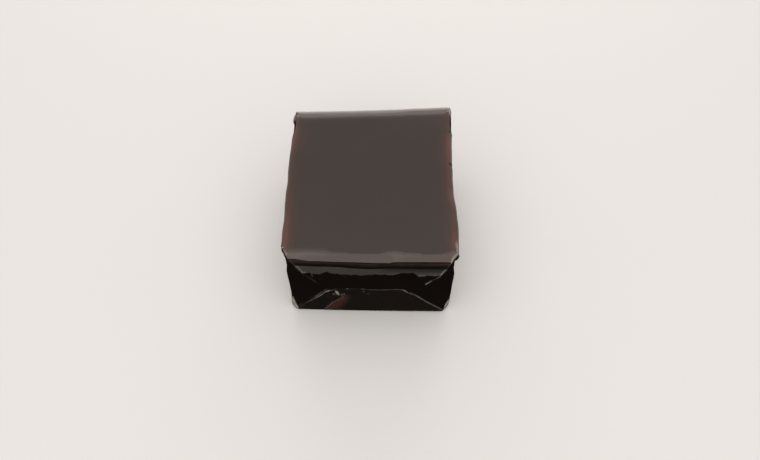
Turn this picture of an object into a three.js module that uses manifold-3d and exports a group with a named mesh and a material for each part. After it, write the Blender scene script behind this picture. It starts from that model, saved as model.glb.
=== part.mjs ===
// A single-serving block of yokan, the firm dark jelly of red beans, as it comes out of its wrapper.
// It was poured hot into a folded wrapper and set there, so it keeps the print of the folds: a rounded
// lip all round the top, a hollow under the lip, and the flaps of an envelope fold on both ends.
// Millimetres, +Z up, the block rests on z = 0 and its ends face -Y and +Y.
import * as THREE from "three";
import { ConvexGeometry } from "three/addons/geometries/ConvexGeometry.js";
import { ParametricGeometry } from "three/addons/geometries/ParametricGeometry.js";
import { mergeVertices } from "three/addons/utils/BufferGeometryUtils.js";
import Module from "manifold-3d";

const wasm = await Module();
wasm.setup();

// The corners of the lip in plan, a little out of square: the right side is longer than the left
const blockHeight = 29.2;
const frontLeft = new THREE.Vector2(-21.7, -24.4);
const frontRight = new THREE.Vector2(20.8, -25.1);
const backRight = new THREE.Vector2(21.9, 25.5);
const backLeft = new THREE.Vector2(-21.6, 23.7);

// None of the four runs between them is straight: each bows outwards or inwards, and the lip's edge waves
const leftBow = 0.6;
const rightBow = -0.75;
const frontBow = 0.2;
const backBow = -0.3;
const waveHeight = 0.12;
const wavesOnSide = 3;
const wavesOnEnd = 2;

// The upright profile: how far the wall, the hollow and the top stand in from the lip's outer edge
const endInset = 1.5;
const sideInset = 0.45;
const footRadius = 0.9;
const endHollow = 1.0;
const sideHollow = 0.3;
const endLip = 1.8;
const sideLip = 1.1;

// Heights on the profile
const shoulderFoot = 19.2;
const shoulderTop = 21.6;
const hollowTop = 24.4;
const lipUnderside = 27.0;
const lipEdge = 27.6;
const lipCrest = 28.9;

// Corner radii in plan: blunt on the lip, sharper below it and sharpest where the top begins
const wallCorner = 0.8;
const lipCorner = 2.8;
const topCorner = 0.5;

// The envelope fold on each end, seen from outside: side tucks lowest, lower flap highest
const foldMiddle = 12.4;
const foldReach = 10.6;
const tuckDepth = 0.35;
const flapStand = 0.35;
const flapDrop = 0.9;
const flapSlope = 0.25;
const creaseDepth = 0.15;
const creaseTop = new THREE.Vector2(-6.8, 10.8);
const creaseFoot = new THREE.Vector2(-13.6, 0);
const facetHeight = 7.0;
const facetWidth = 1.5;
const cutMargin = 3;

// Fineness of the skin
const cornerSteps = 5;
const sideSteps = 12;
const endSteps = 10;
const arcSteps = 5;
const mergeTolerance = 1e-4;

// The upright profile from the foot to the top. In each point x is the inset on the ends, y the inset on the
// long sides and z the height. Rounded stretches are curves, with straight runs between them.
function uprightProfile() {
  const level = (end, side, height) => new THREE.Vector3(end, side, height);
  const wallAt = (height) => level(endInset, sideInset, height);
  const hollowAt = (height) => level(endInset + endHollow, sideInset + sideHollow, height);
  const lipAt = (height) => level(0, 0, height);
  const foot = level(endInset + footRadius, sideInset + footRadius, 0);
  const crest = level(endLip / 3, sideLip / 3, lipCrest);
  const top = level(endLip, sideLip, blockHeight);
  const runs = [
    [foot, wallAt(0), wallAt(footRadius)],
    [wallAt(shoulderFoot), wallAt(shoulderFoot), hollowAt(shoulderTop)],
    [hollowAt(hollowTop), hollowAt(lipUnderside), lipAt(lipUnderside)],
    [lipAt(lipEdge), crest, top],
  ];
  return runs.flatMap((run) => new THREE.QuadraticBezierCurve3(...run).getPoints(arcSteps));
}

const profile = uprightProfile();

function cornerRadiusAt(height) {
  const { smoothstep, lerp } = THREE.MathUtils;
  const lower = lerp(wallCorner, lipCorner, smoothstep(height, shoulderTop, lipUnderside));
  return lerp(lower, topCorner, smoothstep(height, lipEdge, blockHeight));
}

// The plan's corners in order. Each has the signs of the directions that lead outwards from it, the angle at
// which its arc starts, and the run to the next corner: its steps, its waves and how far it bows outwards.
const alongSide = { steps: sideSteps, waves: wavesOnSide };
const alongEnd = { steps: endSteps, waves: wavesOnEnd };
const planCorners = [
  { at: frontRight, outX: 1, outY: -1, turn: -Math.PI / 2, bow: rightBow, ...alongSide },
  { at: backRight, outX: 1, outY: 1, turn: 0, bow: backBow, ...alongEnd },
  { at: backLeft, outX: -1, outY: 1, turn: Math.PI / 2, bow: leftBow, ...alongSide },
  { at: frontLeft, outX: -1, outY: -1, turn: Math.PI, bow: frontBow, ...alongEnd },
];

// One corner's arc on a level of the skin
function cornerArc(corner, level) {
  const radius = cornerRadiusAt(level.z);
  const x = corner.at.x - corner.outX * (level.y + radius);
  const y = corner.at.y - corner.outY * (level.x + radius);
  const arc = new THREE.ArcCurve(x, y, radius, corner.turn, corner.turn + Math.PI / 2);
  return arc.getPoints(cornerSteps);
}

// The outline on a level: corner arcs joined by runs that bow, and that wave where they are on the lip
function outlineRing(level) {
  const wave = waveHeight * THREE.MathUtils.smoothstep(level.z, hollowTop, lipUnderside);
  const arcs = planCorners.map((corner) => cornerArc(corner, level));
  return planCorners.flatMap((corner, index) => {
    const start = arcs[index][cornerSteps];
    const end = arcs[(index + 1) % arcs.length][0];
    const along = end.clone().sub(start).normalize();
    const outward = new THREE.Vector2(along.y, -along.x);
    const run = Array.from({ length: corner.steps - 1 }, (_, step) => {
      const part = (step + 1) / corner.steps;
      const swell = corner.bow + wave * Math.sin(2 * Math.PI * corner.waves * part + index);
      const point = new THREE.Vector2().lerpVectors(start, end, part);
      return point.addScaledVector(outward, swell * Math.sin(Math.PI * part));
    });
    return [...arcs[index], ...run];
  });
}

// The plain block: the profile carried round the plan, closed at the middle of the foot and of the top
function plainBlock() {
  const rings = profile.map(outlineRing);
  const around = rings[0].length;
  const rows = rings.length + 1;
  const skin = (u, v, target) => {
    const row = Math.round(v * rows) - 1;
    const ring = rings[row];
    if (ring) {
      const point = ring[Math.round(u * around) % around];
      target.set(point.x, point.y, profile[row].z);
    } else {
      target.set(0, 0, row < 0 ? 0 : blockHeight);
    }
  };
  return new ParametricGeometry(skin, around, rows);
}

// A geometry as a solid that can be joined and cut
function solidOf(geometry) {
  const bare = geometry.clone();
  bare.deleteAttribute("normal");
  bare.deleteAttribute("uv");
  const merged = mergeVertices(bare, mergeTolerance);
  return new wasm.Manifold(
    new wasm.Mesh({
      numProp: 3,
      vertProperties: merged.attributes.position.array,
      triVerts: new Uint32Array(merged.index.array),
    }),
  );
}

// A straight-edged plate on an end, drawn as seen from outside. It lies between two depths below the lip's
// outer edge, and its rim slopes in towards both faces by the given amount.
function endPlate(corners, innerDepth, outerDepth, slope) {
  const outline = new THREE.Shape(corners.map(([x, z]) => new THREE.Vector2(x, z)));
  const plate = new THREE.ExtrudeGeometry(outline, {
    depth: innerDepth - outerDepth - 2 * slope,
    bevelSegments: 1,
    bevelSize: slope,
    bevelOffset: -slope,
    bevelThickness: slope,
  });
  plate.translate(0, 0, slope - innerDepth);
  plate.rotateX(Math.PI / 2);
  return plate;
}

// Where an end stands: the middle of its lip, and its turn about the upright axis
function endPlace(left, right) {
  const middle = left.clone().add(right).multiplyScalar(0.5);
  const along = right.clone().sub(left);
  const place = new THREE.Matrix4().makeRotationZ(Math.atan2(along.y, along.x));
  return place.setPosition(middle.x, middle.y, 0);
}

// The small facet at a bottom corner of an end: the corner is sliced off from the foot up to a point on its
// upright edge.
function cornerFacet(hand, edge) {
  const beyond = hand * (edge + facetWidth);
  const outside = -facetWidth;
  return new ConvexGeometry([
    new THREE.Vector3(hand * edge, endInset, facetHeight),
    new THREE.Vector3(hand * (edge - facetWidth), outside, -facetWidth),
    new THREE.Vector3(beyond, endInset + 2 * facetWidth, -facetWidth),
    new THREE.Vector3(beyond, outside, -facetWidth),
    new THREE.Vector3(beyond, outside, facetHeight),
  ]);
}

// The folds of one end: the two side tucks are pressed in, the lower flap stands proud with a second
// crease across its left part, and the two bottom corners are sliced to small facets.
function foldEnd(block, left, right) {
  const place = endPlace(left, right);
  const edge = left.distanceTo(right) / 2 - sideInset;
  const apex = edge - foldReach;
  const flapFoot = edge - flapDrop;
  const setIn = (plate) => solidOf(plate.applyMatrix4(place));
  const tuckFloor = endInset + tuckDepth;
  const flapFace = endInset - flapStand;
  const flap = [
    [-flapFoot, flapDrop],
    [flapFoot, flapDrop],
    [apex, foldMiddle - flapDrop],
    [-apex, foldMiddle],
  ];
  const creaseSide = [
    [-edge - cutMargin, -cutMargin],
    [creaseFoot.x, -cutMargin],
    [creaseFoot.x, creaseFoot.y],
    [creaseTop.x, creaseTop.y],
    [creaseTop.x, foldMiddle + cutMargin],
    [-edge - cutMargin, foldMiddle + cutMargin],
  ];
  let folded = block;
  [-1, 1].forEach((hand) => {
    const tuck = [
      [hand * apex, foldMiddle],
      [hand * (edge + foldReach), foldMiddle - 2 * foldReach],
      [hand * (edge + foldReach), foldMiddle + 2 * foldReach],
    ];
    folded = folded.subtract(setIn(endPlate(tuck, tuckFloor, -cutMargin, flapSlope)));
  });
  folded = folded.add(setIn(endPlate(flap, endInset + endHollow, flapFace, flapSlope)));
  folded = folded.subtract(setIn(endPlate(creaseSide, flapFace + creaseDepth, -cutMargin, creaseDepth)));
  [-1, 1].forEach((hand) => {
    folded = folded.subtract(setIn(cornerFacet(hand, edge)));
  });
  return folded;
}

let yokan = solidOf(plainBlock());
yokan = foldEnd(yokan, frontLeft, frontRight);
yokan = foldEnd(yokan, backRight, backLeft);

const mesh = yokan.getMesh();
const geometry = new THREE.BufferGeometry();
geometry.setAttribute("position", new THREE.BufferAttribute(mesh.vertProperties, 3));
geometry.setIndex(new THREE.BufferAttribute(mesh.triVerts, 1));
geometry.computeVertexNormals();

const jelly = new THREE.MeshStandardMaterial({ color: 0x2c1a16, roughness: 0.3, metalness: 0 });
const block = new THREE.Mesh(geometry, jelly);
block.name = "yokan_block";

// The uneven block stands with the middle of its box over the origin
geometry.computeBoundingBox();
const middle = geometry.boundingBox.getCenter(new THREE.Vector3());
block.position.set(-middle.x, -middle.y, -geometry.boundingBox.min.z);

const part = new THREE.Group();
part.name = "yokan";
part.add(block);

export default part;
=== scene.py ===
import math

import bpy
import numpy as np
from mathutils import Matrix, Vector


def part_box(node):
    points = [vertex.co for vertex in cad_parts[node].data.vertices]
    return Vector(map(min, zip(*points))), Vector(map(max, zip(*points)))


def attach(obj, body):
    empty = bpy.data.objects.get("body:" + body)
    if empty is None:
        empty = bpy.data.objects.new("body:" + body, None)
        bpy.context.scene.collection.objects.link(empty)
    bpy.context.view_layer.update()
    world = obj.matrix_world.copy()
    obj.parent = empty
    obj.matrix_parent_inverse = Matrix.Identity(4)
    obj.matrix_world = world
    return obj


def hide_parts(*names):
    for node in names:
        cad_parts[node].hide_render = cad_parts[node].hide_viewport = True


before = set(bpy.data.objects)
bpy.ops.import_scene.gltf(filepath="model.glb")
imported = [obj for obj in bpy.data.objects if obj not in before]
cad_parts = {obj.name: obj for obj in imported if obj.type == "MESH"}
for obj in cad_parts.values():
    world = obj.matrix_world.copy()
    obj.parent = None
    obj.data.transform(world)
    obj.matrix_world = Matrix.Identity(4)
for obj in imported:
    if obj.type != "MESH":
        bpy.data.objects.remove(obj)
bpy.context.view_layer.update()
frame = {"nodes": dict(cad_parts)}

mm = 0.001            # shapes are worked out in millimetres and go into the mesh in metres
boxLow, boxHigh = (np.array(corner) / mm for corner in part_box("yokan_block"))
print("frame:", ", ".join(frame["nodes"]), "box in mm", np.round(boxHigh - boxLow, 2))


def addToScene(name, data):
    made = bpy.data.objects.new(name, data)
    bpy.context.scene.collection.objects.link(made)
    return made


# The camera stands where the photograph was taken from: solved in millimetres from the middle of the foot
photoCamera = {
    "eye": (2.14, -104.93, 154.80),
    "pitch": 54.99,     # degrees below the horizon, looking along +Y
    "lens": 30.22,
    "sensor": 36.0,
    "nearest": 0.01,    # metres
}


def placeCamera(setup):
    data = bpy.data.cameras.new("photoCamera")
    data.lens = setup["lens"]
    data.sensor_width = setup["sensor"]
    data.sensor_fit = "HORIZONTAL"
    data.clip_start = setup["nearest"]
    camera = addToScene("photoCamera", data)
    camera.location = [value * mm for value in setup["eye"]]
    camera.rotation_euler = (math.radians(90 - setup["pitch"]), 0, 0)
    bpy.context.scene.camera = camera


placeCamera(photoCamera)
print("camera placed")

# The block, in mm: the solid's own sizes, then the finer forms of the skin, then its rows and columns.
# Where a value has four parts they are for the front right, back right, back left and front left corner.
blockForm = {
    "cornersIn": ((1.10, 0.03), (0.0, 0.0), (0.69, 1.80), (0.59, 0.73)),   # from the box, across and along
    "bows": (-0.6, -0.3, 0.4, 0.15), # how far the right, back, left and front run bow outwards
    "halfWidth": 21.0,               # half sizes of the top, in round numbers
    "halfLength": 25.0,
    "endInset": 1.5,                 # how far the wall stands in from the lip's outer edge
    "sideInset": 0.45,
    "footRadius": 0.9,
    "endHollow": 1.0,
    "sideHollow": 0.3,
    "endLip": 1.8,                   # and where the flat top begins
    "sideLip": 1.1,
    "shoulderFoot": 19.2,            # heights
    "shoulderTop": 21.6,
    "hollowTop": 24.4,
    "lipUnderside": 27.0,
    "lipEdge": 27.6,
    "lipCrest": 28.9,
    "lipRound": 0.3,
    "wallCorner": 0.8,               # corner radii in plan
    "lipCorners": (0.8, 0.8, 0.5, 0.6),
    "topCorner": 0.5,
    "lipCuts": {0: (1.95, 1.8), 3: (1.9, 3.2)},   # the front corners of the lip are cut off: across, along
    "lipRipple": (0.03, 7.0, 21),    # unevenness of the lip and of the sides: height, wavelength and seed
    "sideRipple": (0.045, 11.0, 31),
    "coveDepth": 0.15,               # where the shoulder is coved it bulges and dips by this share
    "shoulderBend": 4,               # the wall bends in below the shoulder by this power of the way up
    "tuckEase": 0.35,                # the tucks run into the hollow over this width
    "tuckFill": 0.6,                 # and fill it by this share
    "facetHeight": 7.0,              # the small facets at the bottom corners
    "facetWidths": (1.3, 1.2, 1.2, 0.65),
    # how strong the painted highlight on each facet is
    "facetPales": (1.0, 0.3, 0.3, 1.0),
    "facetSkin": 8.5,                # how high their painted highlight reaches
    "facetMargin": 0.45,             # how far it goes past their edges
    "facetClear": 0.4,               # how far it stays above the floor
    "facetRim": 1.1,                 # and how far round the corner it shows on the end
    "facetEases": (0.3, 0.4),        # over which it fades: past the edges and on the end
    "footFlare": (0.75, 0.1),        # the left and the right side spread a little towards the foot
    "flareHeight": 10.0,
    "backRoll": 0.12,                # the top rolls off softly towards the back edge
    "backRollReach": 3.0,
    "sideFacing": (0.6, 0.6),        # how squarely a column faces a side or an end where a blend between them
    "endFacing": (0.7, 0.5),         # is half done, and how wide that blend is
    "markFacing": (0.3, 0.6),
    "reliefFoot": (0.7, 0.8),        # the print of the folds begins at this height, over this much
    "foldFade": 0.12,                # the rows of a side leave the folds behind over this share of its length
    "flapClear": 0.4,                # least room under the flap's edge, over it and below the shoulder
    "tuckClear": 0.8,
    "shoulderClear": 0.3,
    "besideLine": 0.5,               # rows stand this far beside a fold's line, or this share of the room there
    "besideShare": 0.4,
    "footRows": 6,
    "wallRows": (24, 6, 6, 16, 6, 6, 14),
    "shoulderRows": 13,
    "hollowRows": 10,
    "underLipRows": 12,
    "roundRows": 6,
    "lipRows": 18,
    "topRings": (0.008, 0.02, 0.035, 0.06, 0.1, 0.15, 0.25, 0.45, 0.7),   # shares of the way to the middle
    "footRings": (0.85, 0.6, 0.3),
    "runColumns": (84, 120, 84, 330),   # on the right, back, left and front run
    "cornerColumns": 8,
    "crowdSamples": 400,             # the columns of a side crowd near its short marks and near its ends
    "crowdReach": 2.0,
    "crowdWidth": 1.2,
    "markCrowd": 3,
    "endCrowd": 4,
    "crowdEnd": 24,
}

# The envelope fold printed on an end, seen from outside: across from the middle, then up, in mm. The glints
# say how strong the painted highlight on an edge is along it.
frontFold = {
    "lowerEdge": [(-20.6, 0.5), (-17.4, 4.0), (-15.6, 5.9), (-13.8, 7.9), (-12.3, 9.7), (-10.6, 11.2),
                  (-9.3, 12.0), (-7.6, 12.5), (-4.8, 12.5), (-1.6, 12.3), (2.3, 12.0), (6.4, 12.2),
                  (8.6, 12.2), (11.4, 9.4), (14.8, 5.8), (18.4, 2.0), (20.2, 0.4)],
    "upperLeft": [(-20.8, 27.5), (-19.7, 24.0), (-18.6, 22.0), (-16.9, 19.4), (-13.9, 15.0), (-11.4, 11.9),
                  (-8.8, 8.7)],
    "upperRight": [(9.0, 8.8), (11.6, 11.9), (13.6, 14.5), (15.5, 16.8), (17.4, 19.0), (18.7, 21.0),
                   (19.7, 24.0), (20.5, 27.5)],
    "upperGlint": [(-19.4, 0), (-17.6, 0), (-16.6, 0.12), (-13.8, 0.12), (-13, 0), (13.7, 0), (14, 0.5),
                   (14.8, 0.4), (15.4, 0.1), (16.3, 0.45), (17.8, 0.3), (18.5, 0.1), (19.6, 0.15)],
    "lowerGlint": [(-20.6, 0.05), (-17, 0.22), (-15.4, 0.42), (-12, 0.48), (-10.4, 0.55), (-9.6, 0.5),
                   (-8.8, 0.3), (-8.2, 0.05), (-2.6, 0.02), (-2, 0.25), (-1.2, 0.02), (7.5, 0.08),
                   (8.6, 0.2), (10, 0.2), (11, 0.13), (18, 0.1), (20, 0)],
    "seed": 4,
    "wander": (0.1, 5.0),            # the lines wander by this much, at this wavelength
    "slant": (-0.8, 10.5, 2.0),      # the edges slant beyond here: a middle, the way out from it, easing
    "tuckDepth": 0.22,
    "flapStand": [(-9, 0.08), (-7.5, 0.045), (-1.5, 0.045), (0, 0.07), (20, 0.08)],   # over the upper flap
    "firstStep": 0.13,               # the flap's slanting edges are printed twice, a little apart
    "stepGap": 0.6,
    "ledgeWidth": 0.18,
    "ridge": 0.3,                    # height of the ridges on the edges
    "ridgeShares": (0.2, 0.4),       # the flap's own has this share of it, and this much more on the slants
    "ridgeBreaks": (0.75, 0.4, 3.0), # they fade and come back: mean, spread and wavelength
    "upperRidge": (0.05, 0.2),       # place inside the line and width
    "flapRidge": (0.1, 0.16, 0.12),  # place, and width on the left and on the right
    "secondRidge": (0.8, 0.13),      # strength and width
    "strokes": [((-9.5, 11.7), (-8.9, 10.3), 0.26, 0.6), ((-8.9, 10.3), (-8.5, 8.9), 0.36, 0.85),
                ((-9.7, 9.1), (-8.9, 8.8), 0.26, 0.4), ((-8.0, 8.4), (-6.9, 9.3), 0.14, 0.35),
                ((8.5, 12.0), (9.4, 10.9), 0.22, 0.3), ((-14.6, 19.6), (-14.5, 17.9), 0.15, 0.1),
                ((14.0, 15.1), (15.3, 16.6), 0.3, 0.45)],   # start, end, width and strength
    "strokeRise": 0.3,
    "crease": [(-12.6, 1.2), (-10.4, 4.8), (-8.3, 6.9), (-6.8, 8.9), (-6.4, 11.0)],
    "creaseDepth": 0.2,
    "creaseWidth": 0.4,
    "creaseRidge": (0.5, 0.3),       # share of the depth and place to the right
    "creasePale": (0.11, 0.15, 0.25),             # painted highlight beside the crease: strength, place and width
    "glow": {"right": 3.2, "up": 9.0, "across": -6.0},   # the jelly is thin beside the crease, up to here, and gets a painted red glow
    "glowEases": {"left": 0.6, "right": 4.0, "up": 2.0, "across": 3.0},
    # painted light on the glow and on the lower flap
    "glowPale": 0.02,
    "flapPale": 0.012,
    "bubbles": [(-1.9, 10.9, 0.35), (-0.7, 9.9, 0.3), (-6.4, 18.0, 0.35), (-4.2, 17.9, 0.3)],   # and radius
    "bubbleRise": 0.4,
    # the painted highlight on the upper half of a bubble's rim
    "bubblePale": 0.4,
    "wallRipple": (0.03, 9.0),       # height and wavelength
    "rippleTop": (18.0, 2.0),        # it ends at this height, over this much
    "shoulderWave": [(-20, 0.4), (-16.8, 0.5), (-13.1, -0.2), (-10.8, 0.6), (-8.4, 0.2), (-7.0, -0.1),
                     (-1.5, -0.25), (2.3, 0.15), (6.0, 0.1), (7.9, 0.7), (10.4, 0.7), (12.2, -0.5),
                     (15.1, -0.15), (20, 0.2)],
    "shoulderRipple": (0.12, 1.6),
    "shoulderDrop": [(-20, 0.1), (-8, 0.2), (-4, 0.5), (0, 0.65), (5, 0.35), (20, 0.3)],   # of its top
    "shoulderCove": [(-20, 0), (1, 0), (5, 0.6), (20, 0.8)],   # 1 where it is hollowed
    "lipOut": 0.22,                  # the middle of the lip stands out further than the wall
    "lipShape": 0.92,                # the lip's rise is the way in from its edge to this power
    "lipKnee": 0.5,                  # and it turns softly into the top
    "lipWave": [(-19.5, -0.3), (-17.6, -0.15), (-14.1, 0), (-11.8, -0.1), (-10.3, -0.2), (-9.1, -0.45),
                (-5.8, -0.55), (-4.6, -0.7), (-2.3, -0.75), (1.9, -0.7), (3.1, -0.45), (4.2, 0),
                (5.9, 0.15), (7.1, 0), (8.5, -0.35), (11.7, -0.5), (12.9, -0.8), (16.4, -0.75),
                (17.8, -0.55), (18.8, -0.15), (19.5, 0.4)],
    "waveEnd": (19.4, 1.8),          # the wave ends this far out, over this much
    "lipRise": [(-21, 0.65), (-19.6, 0.75), (-17.6, 0.95), (-15.5, 0.5), (-14.6, 0.25), (-12.4, 0.3),
                (-8.4, 0.22), (-3.6, 0.15), (0.4, -0.08), (3.5, -0.1), (4.6, -0.18), (5.6, 0.3),
                (7.5, 0.37), (13.6, 0.3), (21, 0.2)],
    "dullReach": [(-20, 1.0), (-11, 1.0), (-9, 0.5), (20, 0.5)],   # the top is duller along the lip
    "dullFrom": (0.85, 0.3),         # from this part of the lip on, over this much of it
}
backFold = dict(
    frontFold,
    lowerEdge=[(-20.6, 1.0), (-10.0, 12.2), (-3.0, 12.4), (2.0, 12.9), (9.4, 12.6), (20.6, 1.0)],
    upperLeft=[(-20.6, 27.5), (-19.4, 23.2), (-15.0, 17.4), (-10.2, 12.2)],
    upperRight=[(9.6, 12.4), (13.8, 16.0), (19.4, 23.2), (20.6, 27.5)],
    upperGlint=[(-20, 0.2), (-14, 0.45), (-11.5, 0.1), (11, 0.1), (15, 0.4), (20, 0.2)],
    lowerGlint=[(-20, 0.1), (-14, 0.35), (-9.8, 0.5), (-8, 0.1), (8, 0.1), (9.4, 0.5), (14, 0.3), (20, 0.05)],
    seed=9,
    strokes=[((9.0, 12.2), (9.9, 11.2), 0.22, 0.6)],
    crease=[(-14.2, 1.0), (-9.0, 8.6), (-8.0, 10.6)],
    bubbles=[(4.1, 9.2, 0.4), (-5.2, 17.0, 0.45)],
    shoulderWave=[(-20, 0.2), (-12, -0.4), (-6, 0.3), (1, -0.2), (7, 0.5), (13, -0.3), (20, 0.2)],
    lipOut=0.0,
    lipShape=0.09,
    lipKnee=0.05,
    lipWave=[(-20, 0.05), (-11, -0.05), (-3, 0.1), (5, -0.05), (12, 0.05), (20, 0.0)],
    lipRise=[(-21, 0.0), (21, 0.0)],
    dullReach=[(-20, 1.2), (20, 1.2)],
)

# The lip along the long sides. Marks: (side, place along the block, reach along it, how far it stands out).
# Painted shade, dark and matt, where gaps in the rim lie in shadow: (side, place, reach, share of the rim's
# width).
# Painted highlights on the rim, seen from above: (start, end, width, strength). Tint: (place, how thin the rim
# is there, for its painted red glow).
sideLips = {
    "marks": [(-1, 21.5, 1.3, 0.42), (-1, 17.6, 2.0, -0.1), (-1, -9.0, 11.0, -0.15), (1, 15.6, 0.4, 0.12),
              (1, 4.1, 0.3, -0.25), (1, -2.5, 3.5, -0.1), (1, -13.4, 6.0, 0.40), (-1, -23.4, 2.2, -0.5),
              (-1, -21.9, 0.3, 0.45)],
    "shortMark": 3.0,                # a mark with less reach is on the lip's outer edge alone
    "gapShade": [(-1, 17.9, 2.1, 0.6), (1, 19.3, 2.7, 0.55), (1, 15.6, 0.25, 0.8), (1, 4.1, 0.22, 1.0)],
    "gapShadeEase": 0.2,
    "paleStrokes": [((20.4, -20.8), (20.5, -23.3), 0.4, 0.3), ((20.3, -23.7), (19.3, -24.5), 0.22, 0.35),
                    ((19.3, -24.5), (18.9, -25.3), 0.18, 0.4), ((-21.7, -21.9), (-20.7, -21.9), 0.15, 0.4),
                    ((-20.3, -23.1), (-19.8, -23.8), 0.18, 0.22), ((-21.5, 22.9), (-21.6, 20.9), 0.3, 0.5),
                    ((21.3, 24.9), (21.6, 22.2), 0.3, 0.5)],
    "leftTint": [(-24, 0.5), (-21, 0.9), (-17, 0.8), (-12, 0.5), (-5, 0.35), (1, 0.15), (7, 0.2), (12, 0.6),
                 (15, 0.5), (24, 0.1)],
    "rightTint": [(-24.5, 0.2), (-23.2, 0.35), (-21.8, 0.85), (-20, 0.8), (-15, 0.5), (-11, 0.5), (-7, 0.9),
                  (-3, 0.5), (4, 0.6), (9, 0.9), (13, 0.8), (16, 0.3), (24, 0.1)],
}

# How strongly the coats of the skin show: how thin the jelly is, for its painted red glow, and how strong the
# painted light is
skinCoats = {
    "creaseThin": 0.45,
    "rimThin": (0.35, 0.65),         # on the side rims, and more towards the flat top
    "rimReach": 0.7,                 # how far it goes on, over the top
    "edgeThin": 0.5,                 # on the lip's upright edge along the sides
    "hollowThin": 0.16,              # under the lip of an end, stronger near its corners
    "hollowMiddle": 0.6,
    "hollowCorner": (14, 5.0),
    "topLitTint": 0.07,                 # painted light: a redder tint all over the top than on the walls, as lit from above, more near its sides and on the lip of an end
    "topSideThin": (0.10, 5.0),
    "endLipThin": 0.1,
    # painted light in the shaded hollow under the lip of an end
    "hollowPale": 0.06,
}

# The rungs of the ladder of heights that each column has. Between wall and shoulder the rungs stand below, on
# and above the lower flap's edge, and then below, on and above the side tuck's upper line.
footRung, wallRung, shoulderRung, shoulderTopRung, hollowTopRung = 0, 1, 8, 9, 10
underLipRung, roundRung, edgeRung, crestRung, topRung = 11, 12, 13, 14, 15

# Directions that lead outwards from the four corners
outward = np.array([(1, -1), (1, 1), (-1, 1), (-1, -1)])


# Smooth step: 0 below -width / 2, 1 above width / 2, and 3t^2 - 2t^3 between
def ease(distance, width):
    t = np.clip(distance / width + 0.5, 0, 1)
    return t * t * (3 - 2 * t)


# A soft mound on a line: e to the power -(distance / width)^power. A higher even power has a flatter crown.
def mound(distance, width, power=2):
    return np.exp(-(distance / width) ** power)


# How squarely a column faces something, eased to 0 or 1 by a blend's middle and width
def facing(towards, blend):
    middle, width = blend
    return ease(towards - middle, width)


# A straight-sided line through points, and one with an eased step from each point to the next
def straightLine(at, points):
    return np.interp(at, *np.array(points, float).T)


def easedLine(at, points):
    x, value = np.array(points, float).T
    left = np.clip(np.searchsorted(x, at) - 1, 0, len(x) - 2)
    t = ease((at - x[left]) / (x[left + 1] - x[left]) - 0.5, 1.0)
    return value[left] + (value[left + 1] - value[left]) * t


# A stroke from start to end: a mound on the distance from the nearest point of the line between them
def strokeMound(a, b, start, end, width):
    reach = np.subtract(end, start)
    run = np.clip(((a - start[0]) * reach[0] + (b - start[1]) * reach[1]) / (reach @ reach), 0, 1)
    aside = np.hypot(a - start[0] - reach[0] * run, b - start[1] - reach[1] * run)
    return mound(aside, width, 4)


# Gentle unevenness: a sum of sine waves in random directions, each with its own phase, about -1 to 1. Their
# wavelengths are 0.6 to 1.6 times the given one.
def ripple(a, b, wavelength, seed, waves=7):
    draw = np.random.default_rng(seed)
    turn = draw.uniform(0, 2 * np.pi, waves)
    phase = draw.uniform(0, 2 * np.pi, waves)
    pace = 2 * np.pi / (wavelength * draw.uniform(0.6, 1.6, waves))
    total = sum(np.sin(k * (a * np.cos(t) + b * np.sin(t)) + p) for k, t, p in zip(pace, turn, phase))
    return total / math.sqrt(waves)


# A quadratic curve from start to end, pulled towards turn: (1-t)^2 start + 2t(1-t) turn + t^2 end
def bend(start, turn, end, count):
    t = np.linspace(0, 1, count)[:, None]
    return (1 - t) ** 2 * np.array(start) + 2 * t * (1 - t) * np.array(turn) + t ** 2 * np.array(end)


# The upright profile as rows of (inset on the ends, inset on the sides, place on the ladder of heights, shrink
# towards the middle): straight runs and quadratic curves from rung to rung, and rings across the foot and top
def profileRows(form):
    wall = np.array([form["endInset"], form["sideInset"]])
    hollow = wall + [form["endHollow"], form["sideHollow"]]
    foot = wall + form["footRadius"]
    top = np.array([form["endLip"], form["sideLip"]])
    turn = form["lipRound"]

    def level(inset, rung):
        return (*np.broadcast_to(inset, 2), rung)

    def rings(inset, rung, shrinks):
        count = len(shrinks)
        return np.column_stack([np.tile(inset, (count, 1)), np.full(count, rung), shrinks])

    wallRungs = np.concatenate([np.linspace(rung, rung + 1, count)[:-1]
                                for rung, count in enumerate(form["wallRows"], wallRung)])
    rows = np.concatenate([
        bend(level(foot, footRung), level(wall, footRung), level(wall, wallRung), form["footRows"])[:-1],
        np.column_stack([np.tile(wall, (len(wallRungs), 1)), wallRungs]),
        np.linspace(level(wall, shoulderRung), level(hollow, shoulderTopRung), form["shoulderRows"]),
        np.linspace(level(hollow, shoulderTopRung), level(hollow, hollowTopRung), form["hollowRows"])[1:-1],
        bend(level(hollow, hollowTopRung), level(hollow, underLipRung), level(turn, underLipRung),
             form["underLipRows"]),
        bend(level(turn, underLipRung), level(0, underLipRung), level(0, roundRung), form["roundRows"])[1:],
        bend(level(0, edgeRung), level(top / 3, crestRung), level(top, topRung), form["lipRows"]),
    ])
    rows = np.column_stack([rows, np.zeros(len(rows))])
    under = rings(foot, footRung, form["footRings"])
    over = rings(top, topRung, form["topRings"])
    return np.concatenate([under, rows, over])


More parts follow.
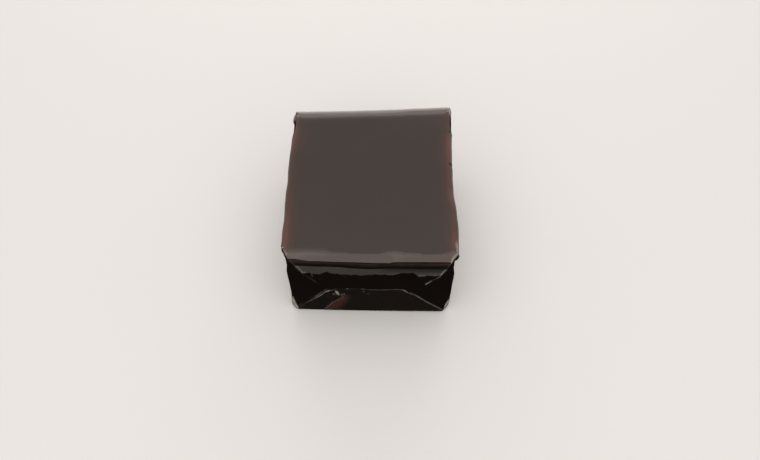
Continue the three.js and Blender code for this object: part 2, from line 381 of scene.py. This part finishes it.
# The plan's outline as columns. A column on a corner lies on its arc; one on a run lies at a fraction of
# the way from the end of one corner's arc to the start of the next.
def planColumns(form):
    corner = form["cornerColumns"]
    turns = np.radians([-90, 0, 90, 180])
    marks = [mark for mark in sideLips["marks"] if mark[2] < form["crowdReach"]]
    ramp = np.linspace(0, 1, form["crowdSamples"])
    columns = []
    for index, (count, turn, bow) in enumerate(zip(form["runColumns"], turns, form["bows"])):
        side = 1 - index    # 1 on the right run, -1 on the left one
        place = (ramp - 0.5) * (boxHigh[1] - boxLow[1]) * side
        crowd = 1 + sum(form["markCrowd"] * mound(place - mark[1], form["crowdWidth"])
                        for mark in marks if mark[0] == side)
        nearEnd = mound(np.abs(place) - form["crowdEnd"], form["crowdWidth"]) * (abs(side) == 1)
        share = np.cumsum(crowd + form["endCrowd"] * nearEnd)
        along = np.interp(np.linspace(share[0], share[-1], count + 2)[1:-1], share, ramp)
        part = np.concatenate([np.zeros(corner), along])
        arc = np.concatenate([turn + np.linspace(0, np.pi / 2, corner), np.full(count, turn + np.pi / 2)])
        whole = np.ones(corner + count)
        columns.append(np.stack([index * whole, (index + 1) % 4 * whole, arc, arc[-1] * whole, part,
                                 bow * np.sin(np.pi * part)]))
    first, second, turnA, turnB, part, bow = np.concatenate(columns, axis=1)
    return first.astype(int), second.astype(int), turnA, turnB, part, bow


# The ladder of heights that a column's rows follow: the fold's own lines where it crosses them, kept apart from
# each other, and the profile's heights above and below them
def ladderHeights(across, fold, form):
    foot = form["footRadius"]
    line = straightLine(across, fold["upperRight"])
    line = np.where(across < 0, straightLine(across, fold["upperLeft"]), line)
    height, wavelength = fold["shoulderRipple"]
    shoulder = form["shoulderFoot"] + easedLine(across, fold["shoulderWave"])
    shoulder = shoulder + height * ripple(across, 0, wavelength, fold["seed"] + 3)
    flap = np.maximum(straightLine(across, fold["lowerEdge"]), foot + form["flapClear"])
    tuck = np.clip(line, flap + form["tuckClear"], shoulder - form["shoulderClear"])

    def beside(roomUnder, roomOver):
        return np.minimum(form["besideLine"], form["besideShare"] * np.minimum(roomUnder, roomOver))

    nearFlap = beside(flap - foot, tuck - flap)
    nearTuck = beside(tuck - flap, shoulder - tuck)
    shoulderTop = form["shoulderTop"] - easedLine(across, fold["shoulderDrop"])
    rungs = [0, foot, flap - nearFlap, flap, flap + nearFlap, tuck - nearTuck, tuck, tuck + nearTuck,
             shoulder, shoulderTop, form["hollowTop"], form["lipUnderside"],
             form["lipUnderside"] + form["lipRound"], form["lipEdge"], form["lipCrest"], boxHigh[2]]
    return np.stack([np.broadcast_to(rung, len(across)) for rung in rungs])


# How far a point lies below a line, square to it: the drop to the line over the square root of 1 + slope^2
def distanceBelow(across, up, line):
    reach = 0.1
    slope = (straightLine(across + reach, line) - straightLine(across - reach, line)) / (2 * reach)
    return (straightLine(across, line) - up) / np.sqrt(1 + slope ** 2)


# How far a point lies above the upper line of the nearer side tuck
def aboveTucks(across, up, fold):
    left = distanceBelow(across, up, fold["upperLeft"])
    right = distanceBelow(across, up, fold["upperRight"])
    return -np.where(across < 0, left, right)


# The print of the folds on one end: how far the skin stands out at (across, up). The lower flap is highest,
# the upper flap lower, the side tucks lowest, with eased ledges between them and thin ridges on the edges.
# Also gives how thin the jelly is along the crease, and the painted highlights on the ridges and other marks.
def foldRelief(across, up, fold):
    seed = fold["seed"]
    onLeft = across < 0
    width = fold["ledgeWidth"]
    wander, wanderLength = fold["wander"]
    wobble = wander * ripple(across, up, wanderLength, seed)
    below = distanceBelow(across, up, fold["lowerEdge"]) + wobble
    above = aboveTucks(across, up, fold) + wobble
    slantMiddle, slantFrom, slantEase = fold["slant"]
    slanting = ease(np.abs(across - slantMiddle) - slantFrom, slantEase)
    lower = ease(below, width)
    upper = np.where(slanting > 0, ease(above, width), 1.0)
    depth = fold["tuckDepth"]
    step = fold["firstStep"] * slanting * onLeft
    stand = straightLine(across, fold["flapStand"])
    flap = step * ease(below + fold["stepGap"], width) + (depth + stand - step) * lower
    relief = np.maximum(depth * upper, flap) - depth

    # the ridges on the edges
    mean, spread, breakLength = fold["ridgeBreaks"]
    broken = np.clip(mean + spread * ripple(across, up, breakLength, seed + 1), 0, 1)
    upperPlace, upperWidth = fold["upperRidge"]
    upperRidge = broken * mound(above - upperPlace, upperWidth) * slanting * (1 - lower)
    upperRidge *= straightLine(across, fold["upperGlint"])
    flapPlace, leftWidth, rightWidth = fold["flapRidge"]
    glint = broken * straightLine(across, fold["lowerGlint"])
    flapRidge = glint * mound(below - flapPlace, np.where(onLeft, leftWidth, rightWidth))
    secondShare, secondWidth = fold["secondRidge"]
    secondRidge = secondShare * glint * mound(below + fold["stepGap"] - flapPlace, secondWidth)
    secondRidge *= slanting * onLeft
    share, slantShare = fold["ridgeShares"]
    relief += fold["ridge"] * (upperRidge + (share + slantShare * slanting) * flapRidge)
    # the ridges carry painted highlights
    paintedLight = np.maximum(np.maximum(upperRidge, flapRidge), secondRidge)

    # strokes: small raised marks with painted highlights
    for start, end, wide, strength in fold["strokes"]:
        stroke = strength * strokeMound(across, up, start, end, wide)
        relief += fold["strokeRise"] * wide * stroke
        paintedLight = np.maximum(paintedLight, stroke * broken)

    # the crease across the flap's left part: what lies to its left is pressed in
    right = across - np.interp(up, *np.array(fold["crease"])[:, ::-1].T)
    ridgeShare, ridgePlace = fold["creaseRidge"]
    crease = ridgeShare * mound(right - ridgePlace, fold["creaseWidth"]) - 1 + ease(right, fold["creaseWidth"])
    relief += fold["creaseDepth"] * lower * crease

    # bubbles, each with a painted highlight on the upper half of its rim
    for x, z, radius in fold["bubbles"]:
        bubble = mound(np.hypot(across - x, up - z), radius / math.sqrt(2))
        ring = np.clip(4 * bubble * (1 - bubble) - 0.5, 0, 1) * (up > z)
        relief += fold["bubbleRise"] * radius * bubble
        paintedLight = np.maximum(paintedLight, fold["bubblePale"] * ring)

    rippleHeight, rippleLength = fold["wallRipple"]
    rippleTop, rippleEase = fold["rippleTop"]
    uneven = rippleHeight * ripple(across, up, rippleLength, seed + 2)
    relief += uneven * ease(rippleTop - up, rippleEase)

    # painted red glow where the jelly is thin beside the crease, with painted light on it, on the lower flap
    # and beside the crease
    glow, eases = fold["glow"], fold["glowEases"]
    lowDown = ease(glow["up"] - up, eases["up"])
    thin = lower * ease(right, eases["left"]) * ease(glow["right"] - right, eases["right"])
    thin = thin * lowDown * ease(glow["across"] - across, eases["across"])
    palest, palePlace, paleWidth = fold["creasePale"]
    paintedLight = np.maximum(paintedLight, fold["glowPale"] * thin + fold["flapPale"] * lower)
    paintedLight = np.maximum(paintedLight, palest * lower * mound(right - palePlace, paleWidth) * lowDown)
    return relief, thin, paintedLight


# Slices the bottom corners to small facets: what lies beyond a plane that leans in towards the foot moves
# level back onto it, and a highlight is painted there. Gives the new places and the painted highlight.
def sliceFacets(x, y, z, corners, form):
    paintedLight = np.zeros(x.shape)
    edgeEase, rimEase = form["facetEases"]
    diagonal = math.sqrt(2)
    facets = zip(corners, outward, form["facetWidths"], form["facetPales"])
    for corner, (outX, outY), wide, strength in facets:
        pastSide = outX * (x - corner[0]) + form["sideInset"]
        reach = (pastSide + outY * (y - corner[1]) + form["endInset"]) / diagonal
        downPart = 1 - z / form["facetHeight"]
        excess = np.clip(reach + wide * downPart, 0, None) * (downPart > 0)
        margin = form["facetMargin"] * np.clip(4 - 4 * z / form["facetSkin"], 0, 1)   # narrows near the top
        pale = np.clip((reach + wide * np.clip(downPart, 0, 1) + margin) / edgeEase, 0, 1)
        pale *= (z > form["facetClear"]) * (z < form["facetSkin"])
        pale *= ease(pastSide + form["facetRim"], rimEase)
        paintedLight = np.maximum(paintedLight, strength * pale)
        x = x - outX * excess / diagonal
        y = y - outY * excess / diagonal
    return x, y, paintedLight


# Cuts corners of the lip off straight: what lies beyond the line through (across, 0) and (0, along), measured
# in from the corner, moves square back onto it
def cutLip(x, y, onLip, corners, form):
    for index, (across, along) in form["lipCuts"].items():
        outX, outY = outward[index]
        excess = outX * (x - corners[index, 0]) / across + outY * (y - corners[index, 1]) / along + 1
        excess = np.clip(excess, 0, None) * onLip / (across ** -2 + along ** -2)
        x = x - outX * excess / across
        y = y - outY * excess / along
    return x, y


# The whole skin: the profile carried round the plan, then pushed in and out by the folds and the wavy lip.
# Gives the grid of points and four coats at each: how thin the jelly is, for its painted red glow, the painted
# light, the painted shade in gaps, and how dull.
def yokanSkin(form, look):
    low, high = boxLow, boxHigh
    height = high[2]
    corners = np.where(outward > 0, high[:2], low[:2]) - outward * np.array(form["cornersIn"])
    endIn, sideIn, rung, shrink = (values[:, None] for values in profileRows(form).T)
    first, second, turnA, turnB, part, bow = planColumns(form)
    faceX = np.cos(turnA)
    faceY = np.sin(turnA)
    onSide = facing(np.abs(faceX), form["sideFacing"])    # 1 on the long sides and 0 on the ends
    sideRun = np.abs(faceX) > 0.9     # columns of the sides, past the corners' arcs
    outer = shrink == 0               # rows outside the rings of the foot and the top
    overEdge = rung >= edgeRung       # rows from the lip's edge to the middle of the top

    # the heights of the rows: on a side they leave the fold of the nearer end behind within a few mm
    crossX = np.where(part > 0, 1 - 2 * np.where(faceY > 0.5, part, 1 - part), outward[first, 0])
    crossX = np.where(sideRun, np.sign(faceX), crossX)
    halfEnd = (corners[0, 0] - corners[3, 0]) / 2 - form["sideInset"]
    halfEnd = halfEnd - form["wallCorner"] * (1 - np.abs(faceX))
    atFront = np.where(sideRun, np.where(faceX > 0, part < 0.5, part > 0.5), faceY < 0)
    front = ladderHeights(crossX * halfEnd, frontFold, form)
    back = ladderHeights(-crossX * halfEnd, backFold, form)
    plain = ladderHeights(np.zeros(len(part)), backFold, form)
    away = ease(np.minimum(part, 1 - part) * sideRun - form["foldFade"] / 2, form["foldFade"])
    ladder = np.where(atFront, front, back)
    ladder = ladder + (plain - ladder) * away
    step = np.clip(np.floor(rung[:, 0]).astype(int), footRung, crestRung)
    z = ladder[step]
    z = z + (ladder[step + 1] - z) * (rung - step[:, None])

    # the outline on each row
    onLip = ease(rung - underLipRung + 0.1, 0.3)    # from just before the lip's underside
    lipPart = np.clip((z - form["lipEdge"]) / (height - form["lipEdge"]), 0, 1)
    blunt = ease((z - form["shoulderTop"]) / (form["lipUnderside"] - form["shoulderTop"]) - 0.5, 1.0)

    def onArc(corner, turn, endIn):
        radius = form["wallCorner"] + (np.array(form["lipCorners"])[corner] - form["wallCorner"]) * blunt
        radius = radius + (form["topCorner"] - radius) * ease(lipPart - 0.5, 1.0)
        x = corners[corner, 0] - outward[corner, 0] * (sideIn + radius) + radius * np.cos(turn)
        y = corners[corner, 1] - outward[corner, 1] * (endIn + radius) + radius * np.sin(turn)
        return x, y

    def outline(endIn):
        startX, startY = onArc(first, turnA, endIn)
        endX, endY = onArc(second, turnB, endIn)
        return startX + (endX - startX) * part, startY + (endY - startY) * part

    # The shoulder leans back evenly on the left and is coved on the right; where its foot is higher, the wall
    # just below it bends in. Beyond the slanting lines the tucks run up to the lip, past shoulder and hollow.
    x, y = outline(endIn)
    frontX = x - (corners[0, 0] + corners[3, 0]) / 2
    backX = (corners[1, 0] + corners[2, 0]) / 2 - x
    tucked = np.where(atFront, aboveTucks(frontX, z, frontFold), aboveTucks(backX, z, backFold))
    tucked = ease(-tucked, form["tuckEase"]) * (rung < underLipRung + 0.5)
    cove = np.where(atFront, easedLine(frontX[0], frontFold["shoulderCove"]),
                    easedLine(backX[0], backFold["shoulderCove"]))

    def hollowIn(z):
        way = (z - form["shoulderFoot"]) / (form["shoulderTop"] - form["shoulderFoot"])
        return form["endHollow"] * way * (1 + cove * form["coveDepth"] * (1 - 2 * way))

    beyond = endIn - form["endInset"]
    deep = np.clip(beyond, 0, None) * (rung > shoulderRung)
    shoulderTop = ladder[shoulderTopRung]
    overHollow = beyond + deep * (hollowIn(shoulderTop) / form["endHollow"] - 1)
    bendIn = hollowIn(ladder[shoulderRung]) * np.clip(rung - shoulderRung + 1, 0, 1) ** form["shoulderBend"]
    shaped = np.where(rung > hollowTopRung, overHollow, hollowIn(np.minimum(z, shoulderTop)))
    shaped = np.where(rung < shoulderRung, beyond + bendIn, shaped)
    endIn = form["endInset"] + shaped + tucked * (beyond - form["tuckFill"] * deep - shaped)
    x, y = outline(endIn)

    # the edge of the lip wanders, and the sides have their own marks and painted shade where gaps in the rim
    # lie in shadow
    rim = np.clip(sideIn / form["sideLip"], 0, 1) * overEdge
    lipHeight, lipLength, lipSeed = form["lipRipple"]
    sideHeight, sideLength, sideSeed = form["sideRipple"]
    flare = np.where(faceX < 0, *form["footFlare"]) * ease(form["flareHeight"] / 2 - z, form["flareHeight"])
    push = bow + onLip * lipHeight * (1 + onSide) * ripple(x, y, lipLength, lipSeed)
    uneven = sideHeight * ripple(y, z, sideLength, sideSeed)
    push = push + (rung < shoulderTopRung) * onSide * (uneven + flare)
    for side, place, reach, stand in sideLips["marks"]:
        mark = onLip * mound(y - place, reach, 4) * facing(side * faceX, form["markFacing"])
        push = push + stand * mark * (1 - rim * (reach < sideLips["shortMark"]))

    # painted shade: dark matt patches where gaps in the rim lie in shadow
    gapShade = np.zeros(x.shape)
    for side, place, reach, share in sideLips["gapShade"]:
        shadePatch = mound(y - place, reach, 6) * facing(side * faceX, form["sideFacing"])
        shadePatch = shadePatch * ease(share * form["sideLip"] - sideIn, sideLips["gapShadeEase"])
        gapShade += shadePatch * (rung > underLipRung) * outer

    # the folds and the lip on the two ends
    thin = np.zeros(x.shape)
    paintedLight = np.zeros(x.shape)
    dull = 4 * tucked * (1 - tucked) * (rung > shoulderRung) * (rung < underLipRung)
    reliefFrom, reliefEase = form["reliefFoot"]
    onWall = ease(z - reliefFrom, reliefEase) * np.clip(underLipRung - rung, 0, 1) * outer
    inside = form["halfLength"] * shrink * overEdge    # how far in from the lip's inner line
    for fold, left, right, sign in ((frontFold, 3, 0, -1), (backFold, 1, 2, 1)):
        onEnd = facing(sign * faceY, form["endFacing"])
        middle = (corners[left] + corners[right]) / 2
        along = (corners[right] - corners[left]) / np.linalg.norm(corners[right] - corners[left])
        across = (x - middle[0]) * along[0] + (y - middle[1]) * along[1]
        relief, creased, pale = foldRelief(across, z, fold)
        push = push + onWall * onEnd * relief
        thin = thin + look["creaseThin"] * onWall * onEnd * creased
        paintedLight = paintedLight + onWall * onEnd * pale

        # the lip's inner line waves, its outer edge rises and falls, and it turns into the top at a soft knee
        topPart = np.clip(endIn / form["endLip"], 0, 1) * overEdge
        waveEnd, waveEase = fold["waveEnd"]
        wave = easedLine(across, fold["lipWave"]) * ease(waveEnd - np.abs(across), waveEase)
        standOut = onLip * fold["lipOut"] * (1 - (across / form["halfWidth"]) ** 2)
        push = push + onEnd * (standOut - wave * topPart)
        rise = easedLine(across, fold["lipRise"]) * (1 - topPart)
        wayIn = topPart + inside / (form["endLip"] + wave)
        lipLine = form["lipEdge"] + (height - form["lipEdge"]) * wayIn ** fold["lipShape"] + rise
        near = np.clip(0.5 + 0.5 * (height - lipLine) / fold["lipKnee"], 0, 1)
        risen = height + (lipLine - height) * near - fold["lipKnee"] * near * (1 - near)
        z = z + onEnd * np.where(overEdge, risen - z, rise * onLip * outer)
        dullFrom, dullEase = fold["dullFrom"]
        fade = mound(inside, easedLine(across, fold["dullReach"]))
        dull = dull + onEnd * overEdge * ease(topPart - dullFrom, dullEase) * fade

    x = x + push * faceX
    y = y + push * faceY
    x, y, pale = sliceFacets(x, y, z, corners, form)
    paintedLight = np.maximum(paintedLight, pale)
    x, y = cutLip(x, y, blunt * outer, corners, form)
    x = np.clip(x * (1 - shrink), low[0], high[0])
    y = np.clip(y * (1 - shrink), low[1], high[1])
    backLine = np.interp(x, corners[[2, 1], 0], corners[[2, 1], 1])
    rollReach = form["backRollReach"]
    rollPart = np.clip((y - backLine + form["endLip"] + rollReach) / rollReach, 0, 1)
    z = np.clip(z - form["backRoll"] * rollPart ** 2 * overEdge, 0, height)

    # the jelly is thin along the rim of the lip, most of all on the long sides, and gets a painted red glow
    # there
    leftTint, rightTint = (easedLine(y, sideLips[name]) for name in ("leftTint", "rightTint"))
    tint = onSide * np.where(faceX < 0, leftTint, rightTint)
    rimAll, rimMore = look["rimThin"]
    fade = np.exp(-shrink * form["halfWidth"] / look["rimReach"])
    thin = thin + (rimAll + rimMore * rim) * overEdge * fade * tint
    thin = thin + look["edgeThin"] * (rung > underLipRung) * (rung < edgeRung) * tint
    cornerFrom, cornerEase = look["hollowCorner"]
    inHollow = (1 - tucked) * (1 - onSide)
    underLip = (rung > shoulderTopRung + 0.5) * (rung < edgeRung) * inHollow    # from half way up the hollow
    nearCorner = look["hollowMiddle"] + ease(np.abs(x) - cornerFrom, cornerEase)
    thin = thin + look["hollowThin"] * underLip * nearCorner
    nearSide, sideReach = look["topSideThin"]
    # painted light: the top is tinted redder than the walls, as lit from above
    topLitTint = look["topLitTint"] + nearSide * np.exp(-np.abs(form["halfWidth"] - np.abs(x)) / sideReach)
    thin = thin + overEdge * (topLitTint + look["endLipThin"] * outer * (1 - onSide))
    # painted light in the shaded hollow under the lip
    paleRows = ease(rung - shoulderTopRung - 0.4, 0.8) * (rung < underLipRung)
    paintedLight = paintedLight + look["hollowPale"] * paleRows * inHollow
    # painted highlights on the rim of the lip
    for start, end, wide, strength in sideLips["paleStrokes"]:
        paintedLight = np.maximum(paintedLight, strength * strokeMound(x, y, start, end, wide) * (rung >= roundRung))
    coats = {"paintedGlow": thin, "paintedLight": paintedLight, "gapShade": gapShade, "dullness": dull}
    return np.stack([x, y, z], axis=-1), {name: np.clip(values, 0, 1) for name, values in coats.items()}


# Joins a grid that closes on itself sideways, with a point at each pole, into one mesh
def closedMesh(name, grid, low, high):
    rows, columns = grid.shape[:2]
    points = np.concatenate([grid.reshape(-1, 3), [low, high]]) * mm
    index = np.arange(rows * columns).reshape(rows, columns)
    right = np.roll(index, -1, axis=1)
    quads = np.stack([index[:-1], right[:-1], right[1:], index[1:]], axis=-1).reshape(-1, 4)
    bottom = np.full(columns, rows * columns)
    underFan = np.stack([bottom, right[0], index[0]], axis=-1)
    overFan = np.stack([index[-1], right[-1], bottom + 1], axis=-1)
    fans = np.concatenate([underFan, overFan])
    sizes = np.concatenate([np.full(len(quads), 4), np.full(len(fans), 3)])
    around = np.concatenate([quads.ravel(), fans.ravel()])
    mesh = bpy.data.meshes.new(name)
    mesh.vertices.add(len(points))
    mesh.vertices.foreach_set("co", points.ravel())
    mesh.loops.add(len(around))
    mesh.loops.foreach_set("vertex_index", around)
    mesh.polygons.add(len(sizes))
    mesh.polygons.foreach_set("loop_start", np.cumsum(sizes) - sizes)
    mesh.polygons.foreach_set("use_smooth", np.ones(len(sizes), bool))
    mesh.update(calc_edges=True)
    mesh.validate()
    return mesh


def buildBlock(form, look):
    grid, coats = yokanSkin(form, look)
    mesh = closedMesh("yokanBlock", grid, (0, 0, boxLow[2]), (0, 0, boxHigh[2]))
    for name, values in coats.items():
        layer = mesh.attributes.new(name, "FLOAT", "POINT")
        poles = [values[0].mean(), values[-1].mean()]
        layer.data.foreach_set("value", np.concatenate([values.ravel(), poles]).astype(np.float32))
    block = addToScene("yokanBlock", mesh)
    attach(block, "root")
    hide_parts("yokan_block")
    return block


yokan = buildBlock(blockForm, skinCoats)
print("block built:", len(yokan.data.polygons), "faces")


# One output of a node tree. Sums such as 1 - mask add the Math nodes that they need.
class Wire:
    def __init__(self, tree, socket=None):
        self.tree = tree
        self.socket = socket

    def node(self, kind, settings=None, sockets=None, out=0):
        made = self.tree.nodes.new(kind)
        for name, value in (settings or {}).items():
            setattr(made, name, value)
        for name, value in (sockets or {}).items():
            if isinstance(value, Wire):
                self.tree.links.new(value.socket, made.inputs[name])
            else:
                made.inputs[name].default_value = value
        return Wire(self.tree, made.outputs[out] if made.outputs else None)

    def maths(self, operation, *values):
        return self.node("ShaderNodeMath", {"operation": operation}, dict(enumerate(values)))

    def __add__(self, other):
        return self.maths("ADD", self, other)

    def __sub__(self, other):
        return self.maths("SUBTRACT", self, other)

    def __rsub__(self, other):
        return self.maths("SUBTRACT", other, self)

    def __mul__(self, other):
        return self.maths("MULTIPLY", self, other)

    __radd__ = __add__
    __rmul__ = __mul__


def newMaterial(name):
    material = bpy.data.materials.new(name)
    material.use_nodes = True
    material.node_tree.nodes.clear()
    return material, Wire(material.node_tree)


# Dark bean jelly: nearly black in the mass, red-brown with a painted glow where it is thin, with painted
# highlights, dark matt painted shade in gaps, and a wet satin skin
beanJelly = {
    "mass": (0.0020, 0.0010, 0.0008, 1),
    "mottle": (0.0036, 0.0018, 0.0013, 1),
    "thin": (0.042, 0.014, 0.0070, 1),
    "thinRed": (0.060, 0.015, 0.0065, 1),
    # the colour of the painted highlights and painted light
    "pale": (0.30, 0.278, 0.263, 1),
    "paleGrain": 0.4,                # the painted light shows by the grain plus this
    "roughness": 0.17,
    "roughnessSpread": 0.08,
    "roughnessDull": 0.33,
    "ior": 1.5,
    "cloud": {"Scale": 120.0, "Detail": 4.0},
    "grain": {"Scale": 900.0, "Detail": 2.0},
    "bump": 0.10,
    "bumpDepth": 0.00010,
    "bumpGrain": 0.3,                # share of the grain in the bump
}


def jellyMaterial(look):
    material, bench = newMaterial("beanJelly")
    place = bench.node("ShaderNodeTexCoord", out="Object")

    def noise(sockets):
        return bench.node("ShaderNodeTexNoise", {"noise_dimensions": "3D"}, {"Vector": place, **sockets})

    def coat(name):
        return bench.node("ShaderNodeAttribute", {"attribute_name": name}, out="Fac")

    def mixed(factor, one, other):    # sockets 6 and 7 and output 2 are the node's colours
        return bench.node("ShaderNodeMix", {"data_type": "RGBA"}, {0: factor, 6: one, 7: other}, out=2)

    cloud = noise(look["cloud"])
    grain = noise(look["grain"])
    body = mixed(cloud, look["mass"], look["mottle"])
    # the painted red glow where the jelly is thin
    rim = mixed(cloud, look["thin"], look["thinRed"])
    jelly = mixed(coat("paintedGlow"), body, rim)
    # painted highlights and painted light over the jelly's colour
    colour = mixed(coat("paintedLight") * (grain + look["paleGrain"]), jelly, look["pale"])
    rough = look["roughness"] + look["roughnessSpread"] * (cloud - 0.5)
    rough = rough + look["roughnessDull"] * coat("dullness")
    normal = bench.node("ShaderNodeBump", None, {"Strength": look["bump"], "Distance": look["bumpDepth"],
                                                 "Height": cloud + look["bumpGrain"] * grain})
    wet = bench.node("ShaderNodeBsdfPrincipled", None,
                     {"Base Color": colour, "Roughness": rough, "IOR": look["ior"], "Normal": normal})
    # painted shade: a dark matt diffuse where gaps in the rim lie in shadow
    shadeMatt = bench.node("ShaderNodeBsdfDiffuse", None, {"Color": look["mottle"]})
    skin = bench.node("ShaderNodeMixShader", None, {0: coat("gapShade"), 1: wet, 2: shadeMatt})
    bench.node("ShaderNodeOutputMaterial", None, {"Surface": skin})
    return material


yokan.data.materials.append(jellyMaterial(beanJelly))
print("jelly material made")

# The stage, in metres: a pale floor, an even pale room and soft panels, a wide one overhead and a low and a
# higher one behind
stage = {
    "floorHalf": 3.0,
    "floorColour": (0.40, 0.414, 0.423, 1),
    "floorRoughness": 0.7,
    "roomStrength": 0.98,
    "roomColour": (1.0, 0.92, 0.86, 1),
    "roomFade": (-0.52, -0.08),  # the room darkens between these heights of the direction
    "roomDark": 0.03,
    "roomRise": (0.68, 0.95),    # and it is brighter towards its ceiling
    "roomTop": 0.55,
    "panels": [
        {"name": "overheadPanel", "size": (1.4, 2.1), "place": (0, -0.70, 0.32), "tilt": 33.0,
         "radiance": 1.35},
        {"name": "backPanel", "size": (2.4, 1.2), "place": (0, 0.62, -0.30), "tilt": -90.0, "radiance": 0.25},
        {"name": "rimPanel", "size": (0.7, 0.42), "place": (0, 0.60, 0.215), "tilt": -90.0, "radiance": 3.4},
    ],
}


def addPanel(panel, colour):
    lamp = bpy.data.lights.new(panel["name"], "AREA")
    lamp.shape = "RECTANGLE"
    lamp.color = colour[:3]
    lamp.size, lamp.size_y = panel["size"]
    lamp.energy = panel["radiance"] * math.pi * lamp.size * lamp.size_y
    light = addToScene(panel["name"], lamp)
    light.location = panel["place"]
    light.rotation_euler = (math.radians(panel["tilt"]), 0, 0)


def addFloor(setup):
    half = setup["floorHalf"]
    mesh = bpy.data.meshes.new("paleFloor")
    square = [(-half, -half, 0), (half, -half, 0), (half, half, 0), (-half, half, 0)]
    mesh.from_pydata(square, [], [(0, 1, 2, 3)])
    floor = addToScene("paleFloor", mesh)
    material, bench = newMaterial("palePaint")
    shader = bench.node("ShaderNodeBsdfPrincipled", None,
                        {"Base Color": setup["floorColour"], "Roughness": setup["floorRoughness"]})
    bench.node("ShaderNodeOutputMaterial", None, {"Surface": shader})
    mesh.materials.append(material)
    floor.visible_glossy = False      # the block's skin doesn't mirror the floor, and takes no light from it
    floor.visible_diffuse = False


def lightRoom(setup):
    world = bpy.data.worlds.new("paleRoom")
    world.use_nodes = True
    world.node_tree.nodes.clear()
    room = Wire(world.node_tree)
    towards = room.node("ShaderNodeTexCoord", out="Generated")
    upward = room.node("ShaderNodeSeparateXYZ", None, {0: towards}, out="Z")

    def climb(heights, sockets):
        ends = {"Value": upward, "From Min": heights[0], "From Max": heights[1]}
        return room.node("ShaderNodeMapRange", {"interpolation_type": "SMOOTHSTEP"}, {**ends, **sockets})

    lit = climb(setup["roomFade"], {"To Min": setup["roomDark"]})
    ceiling = climb(setup["roomRise"], {"To Max": setup["roomTop"]})
    light = room.node("ShaderNodeBackground", None,
                      {"Color": setup["roomColour"], "Strength": (lit + ceiling) * setup["roomStrength"]})
    room.node("ShaderNodeOutputWorld", None, {"Surface": light})
    bpy.context.scene.world = world
    for panel in setup["panels"]:
        addPanel(panel, setup["roomColour"])
    bpy.context.scene.view_settings.view_transform = "Standard"


addFloor(stage)
lightRoom(stage)
print("stage set")
